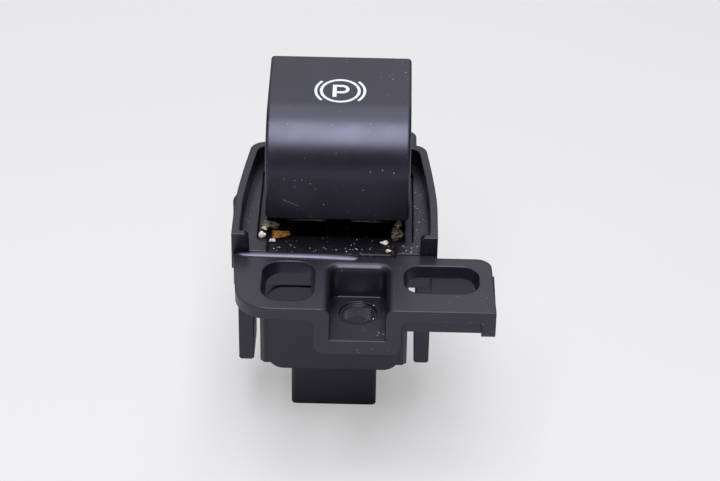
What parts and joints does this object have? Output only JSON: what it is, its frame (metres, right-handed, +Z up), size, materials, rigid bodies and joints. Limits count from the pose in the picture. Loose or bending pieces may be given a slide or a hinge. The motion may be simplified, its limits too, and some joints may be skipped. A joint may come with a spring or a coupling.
{
  "type": "electric parking brake switch",
  "caption": "Console switch whose paddle is pulled up or pushed down at its front edge, on a moulded frame with a forward screw bracket and a plug socket below.",
  "frame": {"origin": "centre of the plug socket's mouth, on the plane the switch stands on", "axes": "+Z up along the plug's axis towards the paddle, -Y towards the screw bracket and the side the finger pulls, +X to the right seen from the bracket"},
  "size_m": [0.049, 0.0567, 0.0635],
  "materials": {
    "frame_plastic": "semi-gloss fine-grained black",
    "housing_plastic": "matte black",
    "soft_touch": "satin soft-touch black",
    "carrier_plastic": "matte dark grey",
    "slider_plastic": "natural acetal",
    "white_plastic": "white",
    "clear_plastic": "clear acrylic",
    "board": "green solder mask",
    "component_black": "matte black epoxy",
    "ceramic_tan": "fired ceramic",
    "gilt_copper": "gold flash on copper",
    "tinned_metal": "bright tin",
    "pin_steel": "drawn steel"
  },
  "bodies": {
    "root": {"mounting_frame": "frame_plastic", "switch_body": "housing_plastic", "base_cover": "housing_plastic", "circuit_board": "board", "terminal_pins": "tinned_metal", "contact_tracks": "gilt_copper", "symbol_led": "white_plastic", "led_light_guide": "clear_plastic", "chip_resistors": "component_black", "chip_capacitors": "ceramic_tan", "clamping_diode": "component_black", "pivot_pin": "pin_steel"},
    "paddle": {"paddle_cap": "soft_touch", "paddle_carrier": "carrier_plastic", "symbol_diffuser": "white_plastic", "light_reflector": "white_plastic"},
    "slider": {"contact_slider": "slider_plastic", "wiper_contacts": "gilt_copper", "front_return_spring": "pin_steel", "rear_return_spring": "pin_steel"}
  },
  "joints": [
    {"name": "paddle_tilt", "type": "hinge", "parent": "root", "child": "paddle", "pos_m": [0, 0.007, 0.036], "axis": [-1, 0, 0], "range_deg": [-8, 10], "stiffness_Nm_per_rad": 0.12},
    {"name": "contact_slide", "type": "slide", "parent": "root", "child": "slider", "axis": [0, -1, 0], "range_m": [-0.0018, 0.0022], "deforming": ["front_return_spring", "rear_return_spring"]}
  ],
  "couplings": [
    {"joint": "contact_slide", "follows": "paddle_tilt", "m_per_rad": 0.0115}
  ]
}
